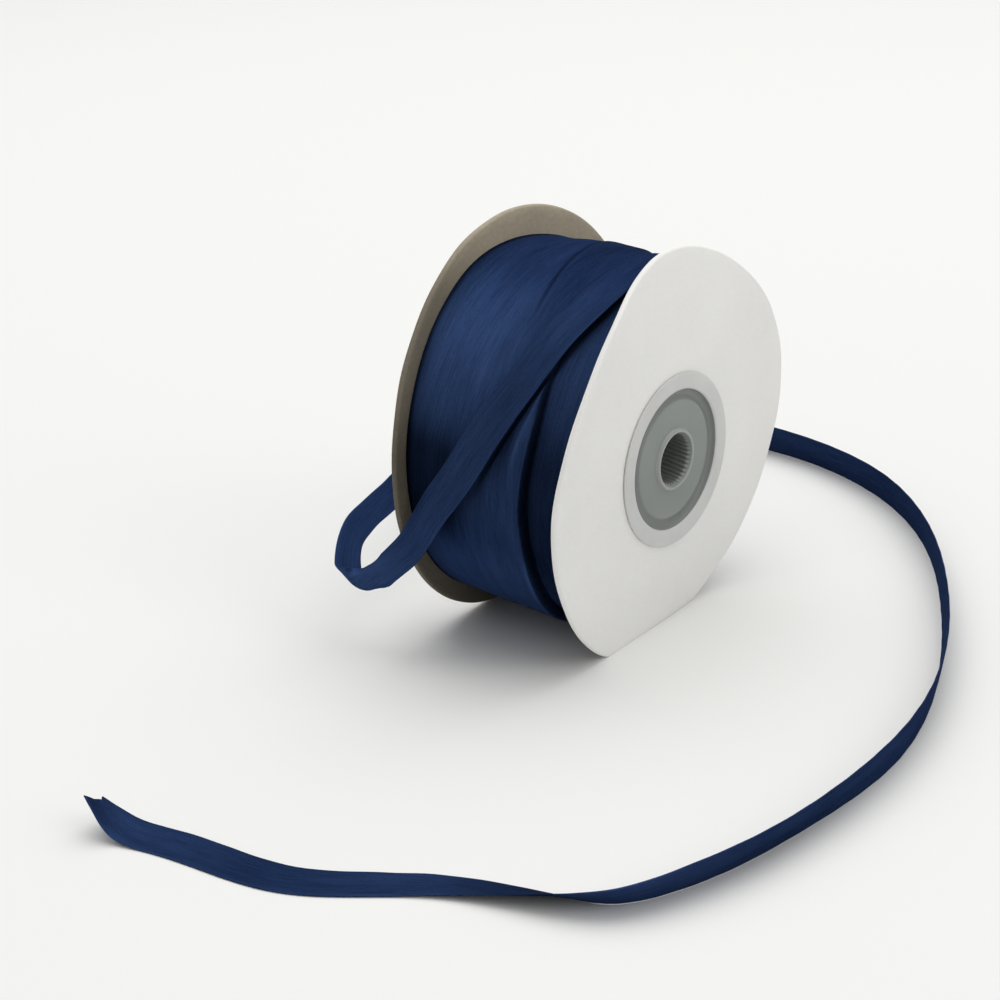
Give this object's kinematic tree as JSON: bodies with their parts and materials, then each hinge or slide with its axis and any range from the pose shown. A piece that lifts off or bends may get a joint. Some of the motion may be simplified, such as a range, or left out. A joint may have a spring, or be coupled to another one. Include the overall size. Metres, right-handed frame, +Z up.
{
  "type": "roll of double-faced satin ribbon",
  "caption": "Narrow navy satin ribbon wound between two card flanges with plastic hub plugs, leaning a little, its loose end looped round the roll and run out on the floor",
  "frame": {"origin": "on the surface the roll stands on, under the middle of the spool's box; the loose ribbon is left out of that box", "axes": "+Z up; the spool's axis runs along X and drops 6.2 degrees towards +X, the side with the hub that faces the viewer; the loose end lies on the surface towards -Y"},
  "size_m": [0.1323, 0.1964, 0.066],
  "materials": {
    "card_white": "matt white-faced board",
    "card_brown": "matt brown board",
    "hub_plastic": "soft sheen",
    "satin_navy": "satin sheen"
  },
  "bodies": {
    "root": {"flange_near": "card_white", "flange_far": "card_brown", "hub_near": "hub_plastic", "hub_far": "hub_plastic", "wound_ribbon": "satin_navy", "ribbon_tail": "satin_navy"}
  },
  "joints": []
}
